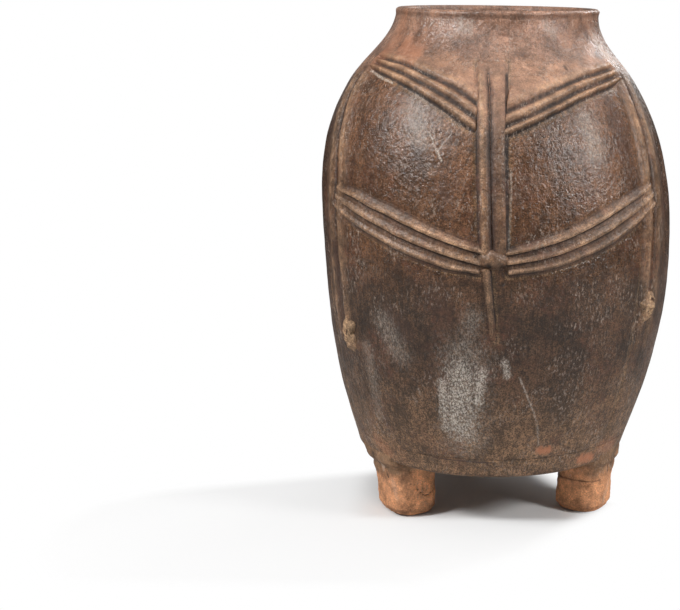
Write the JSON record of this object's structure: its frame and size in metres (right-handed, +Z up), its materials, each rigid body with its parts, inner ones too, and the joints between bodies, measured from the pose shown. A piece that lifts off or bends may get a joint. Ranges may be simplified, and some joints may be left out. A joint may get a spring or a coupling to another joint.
{
  "type": "storage jar",
  "caption": "Tall barrel-shaped terracotta storage jar with a short neck, raised chevron and upright rib bands, worn lugs and stubby feet.",
  "frame": {"origin": "on the ground, on the jar's upright axis", "axes": "+Z up along the jar's axis, the decorated front towards -Y, +X to the right as seen facing the front"},
  "size_m": [0.3644, 0.3826, 0.52],
  "materials": {
    "shoulder_clay": "burnished reddish-brown fired clay",
    "panel_clay": "burnished dark brown fired clay with a semi-gloss patina",
    "lower_clay": "smoked dark grey-brown fired clay",
    "rib_clay": "worn lighter tan clay on the raised ribs",
    "worn_clay": "broken and worn tan clay",
    "raw_clay": "matt raw orange terracotta"
  },
  "bodies": {
    "root": {"base_pan": "lower_clay", "lower_wall": "lower_clay", "belly_wall": "panel_clay", "shoulder_wall": "shoulder_clay", "neck": "shoulder_clay", "rim_coil": "shoulder_clay", "foot_front_left": "raw_clay", "foot_front_right": "raw_clay", "foot_back": "raw_clay", "front_upper_chevron_left_1": "rib_clay", "front_lower_chevron_left_1": "rib_clay", "front_upper_chevron_left_2": "rib_clay", "front_lower_chevron_left_2": "rib_clay", "front_upper_chevron_left_3": "rib_clay", "front_lower_chevron_left_3": "rib_clay", "front_upper_chevron_right_1": "rib_clay", "front_lower_chevron_right_1": "rib_clay", "front_upper_chevron_right_2": "rib_clay", "front_lower_chevron_right_2": "rib_clay", "front_upper_chevron_right_3": "rib_clay", "front_lower_chevron_right_3": "rib_clay", "front_centre_rib_left": "rib_clay", "front_centre_rib_right": "rib_clay", "front_tail_rib": "rib_clay", "front_side_rib_left_inner_upper": "rib_clay", "front_side_rib_left_inner_lower": "rib_clay", "front_side_rib_left_outer": "rib_clay", "front_side_rib_right_inner_upper": "rib_clay", "front_side_rib_right_inner_lower": "rib_clay", "front_side_rib_right_outer": "rib_clay", "back_upper_chevron_left_1": "rib_clay", "back_lower_chevron_left_1": "rib_clay", "back_upper_chevron_left_2": "rib_clay", "back_lower_chevron_left_2": "rib_clay", "back_upper_chevron_left_3": "rib_clay", "back_lower_chevron_left_3": "rib_clay", "back_upper_chevron_right_1": "rib_clay", "back_lower_chevron_right_1": "rib_clay", "back_upper_chevron_right_2": "rib_clay", "back_lower_chevron_right_2": "rib_clay", "back_upper_chevron_right_3": "rib_clay", "back_lower_chevron_right_3": "rib_clay", "back_centre_rib_left": "rib_clay", "back_centre_rib_right": "rib_clay", "back_tail_rib": "rib_clay", "back_side_rib_left_inner_upper": "rib_clay", "back_side_rib_left_inner_lower": "rib_clay", "back_side_rib_left_outer": "rib_clay", "back_side_rib_right_inner_upper": "rib_clay", "back_side_rib_right_inner_lower": "rib_clay", "back_side_rib_right_outer": "rib_clay", "front_knob": "rib_clay", "back_knob": "rib_clay", "front_lug_left": "worn_clay", "front_lug_right": "worn_clay", "back_lug_left": "worn_clay", "back_lug_right": "worn_clay"}
  },
  "joints": []
}
